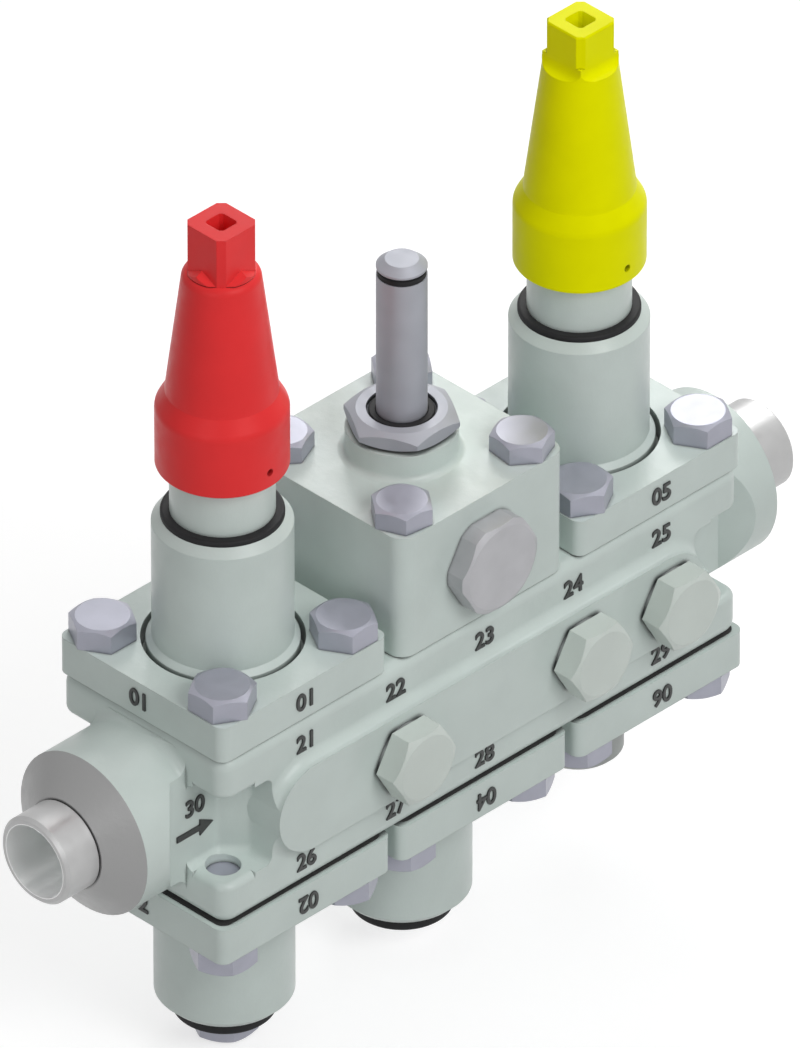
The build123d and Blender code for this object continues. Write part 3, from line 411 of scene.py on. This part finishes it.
def flow_arrow(name, place, side, length, width):
    """A raised arrow that points along the flow."""
    half, shaft = width / 2, width * ARROW_SHAFT_SHARE
    neck = length / 2 - width * ARROW_HEAD_SHARE
    outline = [
        (-length / 2, -shaft), (neck, -shaft), (neck, -half), (length / 2, 0),
        (neck, half), (neck, shaft), (-length / 2, shaft),
    ]
    shape = bmesh.new()
    face = shape.faces.new([shape.verts.new((x, y, -MARK_SINK)) for x, y in outline])
    raised = bmesh.ops.extrude_face_region(shape, geom=[face])
    corners = [v for v in raised["geom"] if isinstance(v, bmesh.types.BMVert)]
    bmesh.ops.translate(shape, verts=corners, vec=(0, 0, MARK_SINK + MARK_RAISE))
    bmesh.ops.recalc_face_normals(shape, faces=shape.faces)
    mesh = bpy.data.meshes.new(name)
    shape.to_mesh(mesh)
    shape.free()
    mesh.materials.append(MARK_PAINT)
    arrow = bpy.data.objects.new(name, mesh)
    arrow.matrix_world = facing(Vector(place), side)
    bpy.context.scene.collection.objects.link(arrow)
    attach(arrow, "station")


def middle_of(node):
    """The centre of a node's box."""
    low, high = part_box(node)
    return (Vector(low) + Vector(high)) / 2


def cover_marks():
    """Module numbers on the front edges of the covers, and on two of them at the inlet end."""
    fronts = [
        ("01", "stop_cover", FRONT), ("05", "regulating_cover", FRONT),
        ("02", "filter_cover", FRONT_TURNED), ("04", "check_cover", FRONT_TURNED),
        ("06", "blank_cover", FRONT_TURNED),
    ]
    for text, node, side in fronts:
        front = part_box(node)[0][1]
        cast_number(f"{node}_mark", text, (middle_of(node).x, front, middle_of(node).z), side)
    for text, node in (("01", "stop_cover"), ("02", "filter_cover")):
        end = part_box(node)[0][0]
        cast_number(f"{node}_end_mark", text, (end, 0, middle_of(node).z), INLET_END)


FIRST_NUMBER = 21
BAND_TOP = 20.0 * MM
BAND_BOTTOM = -20.2 * MM
HOUSING_FACE = -32.5 * MM
NOTCH_WALL = -17.6 * MM
NOTCH_MIDDLE = 44.7 * MM
ARROW_HEIGHT = -3.0 * MM
ARROW_LENGTH = 14.0 * MM
ARROW_WIDTH = 5.4 * MM
LINE_MARK_HEIGHT = 5.0 * MM


def band_marks():
    """Port numbers along the front face of the housing, above and below the pad."""
    first, middle, last = (middle_of(n).x for n in ("stop_cover", "solenoid_block", "regulating_cover"))
    between = (first + middle) / 2
    beyond = (middle + last) / 2
    above = [(x, BAND_TOP) for x in (first, between, middle, beyond, last)]
    below = [(x, BAND_BOTTOM) for x in (first, between, middle, last)]
    for i, (x, z) in enumerate(above + below):
        cast_number(f"port_mark_{i + 1}", str(FIRST_NUMBER + i), (x, HOUSING_FACE, z), FRONT)


def flow_marks():
    """The flow arrow and the line's number on the notch wall at the inlet."""
    arrow_place = (NOTCH_MIDDLE, NOTCH_WALL, ARROW_HEIGHT)
    flow_arrow("flow_arrow", arrow_place, FRONT, ARROW_LENGTH, ARROW_WIDTH)
    cast_number("line_mark", "30", (NOTCH_MIDDLE, NOTCH_WALL, LINE_MARK_HEIGHT), FRONT)


# A small dark ring that CAD does not have, put where the tube nut's recess lies in shade: painted shade

RING_STEPS = 96


def turned_ring(name, center, corners, material, body="station"):
    """A ring about an upright axis from its section's (radius, height) corners."""
    shape = bmesh.new()
    loops = []
    for i in range(RING_STEPS):
        angle = 2 * math.pi * i / RING_STEPS
        c, t = math.cos(angle), math.sin(angle)
        loops.append([shape.verts.new((center[0] + r * c, center[1] + r * t, z)) for r, z in corners])
    for i in range(RING_STEPS):
        here, there = loops[i], loops[(i + 1) % RING_STEPS]
        for j in range(len(corners)):
            k = (j + 1) % len(corners)
            shape.faces.new((here[j], there[j], there[k], here[k]))
    bmesh.ops.recalc_face_normals(shape, faces=shape.faces)
    mesh = bpy.data.meshes.new(name)
    shape.to_mesh(mesh)
    shape.free()
    mesh.materials.append(material)
    piece = bpy.data.objects.new(name, mesh)
    bpy.context.scene.collection.objects.link(piece)
    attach(piece, body)


# Size and place of the dark ring that stands in for the recess's shade
SHADE_RING_GAP = 0.35 * MM
SHADE_RING_DEPTH = 1.1 * MM
SHADE_RING_OUTER = 9.3 * MM
SHADE_RING_EDGE = 0.25 * MM
SHADE_RING_HEIGHT = 0.7 * MM


def recess_shade_ring():
    """A dark ring on the tube's collar, inside the nut's recess, that paints the recess's shade."""
    low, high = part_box("tube_clip")
    inner = (high[0] - low[0]) / 2 + SHADE_RING_GAP
    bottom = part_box("tube_nut")[1][2] - SHADE_RING_DEPTH
    top = bottom + SHADE_RING_HEIGHT
    corners = [
        (inner, bottom), (SHADE_RING_OUTER, bottom), (SHADE_RING_OUTER, top - SHADE_RING_EDGE),
        (SHADE_RING_OUTER - SHADE_RING_EDGE, top), (inner + SHADE_RING_EDGE, top), (inner, top - SHADE_RING_EDGE),
    ]
    turned_ring("recess_shade_ring", middle_of("tube_clip"), corners, SLOT_MATERIALS["rubber"])


# The thread of the two necks, cut into copies of the bonnets

THREAD_BOTTOM = 100.5 * MM
THREAD_TOP = 113.0 * MM
THREAD_PITCH = 1.5 * MM
THREAD_DEPTH = 0.92 * MM
THREAD_HALF_WIDTH = 0.66 * MM
THREAD_REACH = 0.05 * MM
THREAD_RUN_OUT = 40
THREAD_STEPS = 96
NECK_RADIUS = 14.75 * MM
WELD_DISTANCE = 0.0005 * MM
SHARP_ANGLE = math.radians(30)


def thread_cutter(center):
    """A V-shaped bar wound round a neck, shallow where it starts and open past the neck's top."""
    shape = bmesh.new()
    sections = []
    steps = int((THREAD_TOP - THREAD_BOTTOM) / THREAD_PITCH * THREAD_STEPS)
    for i in range(steps + 1):
        angle = 2 * math.pi * i / THREAD_STEPS
        c, t = math.cos(angle), math.sin(angle)
        height = THREAD_BOTTOM + THREAD_PITCH * i / THREAD_STEPS
        share = min(1.0, (i + 1) / THREAD_RUN_OUT)
        half = THREAD_HALF_WIDTH * (share + THREAD_REACH / THREAD_DEPTH)
        root = NECK_RADIUS - THREAD_DEPTH * share
        mouth = NECK_RADIUS + THREAD_REACH
        corners = [(root, height), (mouth, height + half), (mouth, height - half)]
        sections.append([shape.verts.new((center.x + r * c, center.y + r * t, z)) for r, z in corners])
    for here, there in zip(sections, sections[1:]):
        for j in range(3):
            k = (j + 1) % 3
            shape.faces.new((here[j], there[j], there[k], here[k]))
    shape.faces.new(sections[0])
    shape.faces.new(sections[-1][::-1])
    bmesh.ops.recalc_face_normals(shape, faces=shape.faces)
    mesh = bpy.data.meshes.new("thread_cutter")
    shape.to_mesh(mesh)
    shape.free()
    cutter = bpy.data.objects.new("thread_cutter", mesh)
    bpy.context.scene.collection.objects.link(cutter)
    return cutter


def welded_copy(source, name):
    """A copy of a CAD mesh whose faces share their corners, without its stored normals."""
    shape = bmesh.new()
    shape.from_mesh(source)
    bmesh.ops.remove_doubles(shape, verts=shape.verts, dist=WELD_DISTANCE)
    mesh = bpy.data.meshes.new(name)
    shape.to_mesh(mesh)
    shape.free()
    if "custom_normal" in mesh.attributes:
        mesh.attributes.remove(mesh.attributes["custom_normal"])
    return mesh


def shade_by_angle(mesh):
    """Smooth shading that stops at sharp edges."""
    shape = bmesh.new()
    shape.from_mesh(mesh)
    for face in shape.faces:
        face.smooth = True
    for edge in shape.edges:
        edge.smooth = edge.calc_face_angle(0.0) < SHARP_ANGLE
    shape.to_mesh(mesh)
    shape.free()


def threaded_bonnet(node):
    """A copy of a bonnet with the thread for its cap cut into the neck."""
    source = frame["nodes"][node]
    name = f"{node}_threaded"
    piece = bpy.data.objects.new(name, welded_copy(source.data, name))
    piece.matrix_world = source.matrix_world
    bpy.context.scene.collection.objects.link(piece)
    cutter = thread_cutter(middle_of(node))
    cut = piece.modifiers.new("thread", "BOOLEAN")
    cut.object = cutter
    cut.operation = "DIFFERENCE"
    cut.solver = "EXACT"
    bpy.context.view_layer.update()
    ready = piece.evaluated_get(bpy.context.evaluated_depsgraph_get())
    piece.data = bpy.data.meshes.new_from_object(ready)
    piece.modifiers.clear()
    bpy.data.objects.remove(cutter)
    shade_by_angle(piece.data)
    piece.data.materials.clear()
    piece.data.materials.append(SLOT_MATERIALS["body"])
    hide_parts(node)
    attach(piece, "station")


# Springs, copied from the CAD nodes


def pressed_spring(node):
    """A copy of a CAD spring in place of the CAD node."""
    source = frame["nodes"][node]
    spring = bpy.data.objects.new(f"{node}_coil", source.data.copy())
    spring.matrix_world = source.matrix_world
    bpy.context.scene.collection.objects.link(spring)
    low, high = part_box(node)
    bottom = middle_of(node)
    top = bottom.copy()
    bottom.z, top.z = low[2], high[2]
    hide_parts(node)
    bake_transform(spring)


def pressed_springs():
    """The springs of the armature, the servo piston and the check disc."""
    pressed_spring("armature_spring")
    pressed_spring("servo_spring")
    pressed_spring("check_spring")


# Floor, world and lamps

FLOOR_DROP = 0.3 * MM
FLOOR_SIZE = 30.0
FLOOR_COLOR = (0.55, 0.55, 0.55)
FLOOR_ROUGHNESS = 0.9
FLOOR_LIFT = 0.58
WORLD_LIGHT = 0.29
LAMP_TARGET = (0.1435, 0.0, 0.03)
RIM_TARGET = (0.23, 0.0, 0.055)


def camera_only(nodes, links, strength, seen):
    """A factor that is seen for camera, glossy and transmission rays and strength for the rest."""
    path = nodes.new("ShaderNodeLightPath")
    total = path.outputs["Is Camera Ray"]
    for extra in ("Is Glossy Ray", "Is Transmission Ray"):
        add = nodes.new("ShaderNodeMath")
        add.operation = "MAXIMUM"
        links.new(total, add.inputs[0])
        links.new(path.outputs[extra], add.inputs[1])
        total = add.outputs[0]
    factor = nodes.new("ShaderNodeMapRange")
    factor.inputs["To Min"].default_value = strength
    factor.inputs["To Max"].default_value = seen
    links.new(total, factor.inputs["Value"])
    return factor.outputs["Result"]


def make_world():
    """White behind the object, a softer level as light on it."""
    world = bpy.data.worlds.new("studio")
    bpy.context.scene.world = world
    world.use_nodes = True
    nodes, links = world.node_tree.nodes, world.node_tree.links
    background = nodes["Background"]
    background.inputs["Color"].default_value = (1, 1, 1, 1)
    links.new(camera_only(nodes, links, WORLD_LIGHT, 1.0), background.inputs["Strength"])


def make_floor():
    """A plain pale floor under the lowest plug, lifted to white for the camera and in reflections."""
    level = CAD_BOX[0].z - FLOOR_DROP
    mesh = bpy.data.meshes.new("floor")
    half = FLOOR_SIZE / 2
    corners = [(-half, -half, level), (half, -half, level), (half, half, level), (-half, half, level)]
    mesh.from_pydata(corners, [], [(0, 1, 2, 3)])
    floor = bpy.data.objects.new("floor", mesh)
    bpy.context.scene.collection.objects.link(floor)
    s = Shader("floor_white")
    s.surface.inputs["Base Color"].default_value = (*FLOOR_COLOR, 1)
    s.surface.inputs["Roughness"].default_value = FLOOR_ROUGHNESS
    s.surface.inputs["Specular IOR Level"].default_value = 0.0
    s.surface.inputs["Emission Color"].default_value = (1, 1, 1, 1)
    lift = camera_only(s.nodes, s.links, 0.0, FLOOR_LIFT)
    s.links.new(lift, s.surface.inputs["Emission Strength"])
    mesh.materials.append(s.material)


def area_lamp(name, place, target, size, power, shadow=True):
    """A square soft lamp at a place, aimed at a target, both in metres."""
    data = bpy.data.lights.new(name, "AREA")
    data.shape = "SQUARE"
    data.size = size
    data.energy = power
    data.use_shadow = shadow
    lamp = bpy.data.objects.new(name, data)
    lamp.location = place
    aim = Vector(target) - Vector(place)
    lamp.rotation_mode = "QUATERNION"
    lamp.rotation_quaternion = aim.to_track_quat("-Z", "Y")
    bpy.context.scene.collection.objects.link(lamp)


def make_lamps():
    """A broad key in front, one above the outlet, a low one beyond it for the top faces, and a fill."""
    area_lamp("key", (0.05, -1.37, 1.17), LAMP_TARGET, size=0.9, power=13.5)
    area_lamp("side", (1.01, 0.15, 1.23), LAMP_TARGET, size=0.5, power=5.0, shadow=False)
    area_lamp("rim", (0.49, 0.26, 0.312), RIM_TARGET, size=0.24, power=0.75)
    area_lamp("fill", (-1.2, -0.5, 0.5), LAMP_TARGET, size=0.7, power=2.4)


bpy.context.scene.view_settings.view_transform = "Standard"
make_camera()
make_world()
make_floor()
make_lamps()
dress_cad_nodes()
cover_marks()
band_marks()
flow_marks()
recess_shade_ring()
for bonnet in ("stop_bonnet", "regulating_bonnet"):
    threaded_bonnet(bonnet)
pressed_springs()
